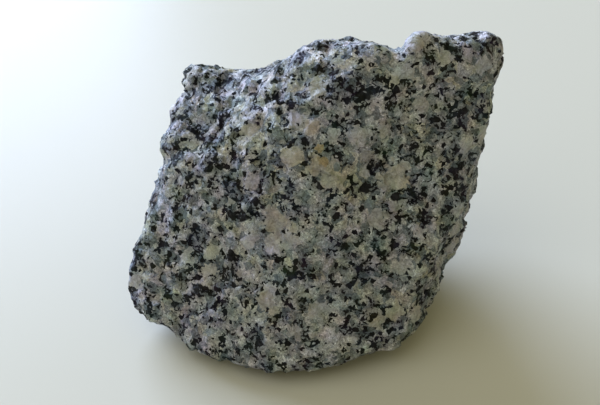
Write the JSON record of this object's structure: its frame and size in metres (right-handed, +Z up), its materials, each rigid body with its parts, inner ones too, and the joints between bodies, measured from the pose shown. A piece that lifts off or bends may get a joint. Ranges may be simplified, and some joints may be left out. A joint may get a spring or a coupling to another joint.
{
  "type": "granite rock",
  "caption": "Broken hand-sized chunk of grey, black-speckled granite: a leaning wedge with a broad rough front, a narrow ridge and a small flat spot to rest on.",
  "frame": {"origin": "on the ground, under the middle of the rock's box", "axes": "+X along the ridge, from the left shoulder to the peak; +Y from the broad front to the back; +Z up from the flat resting spot"},
  "size_m": [0.0952, 0.071, 0.0754],
  "materials": {
    "granite": "rough broken stone, speckled black and grey"
  },
  "bodies": {
    "root": {"granite_rock": "granite"}
  },
  "joints": []
}
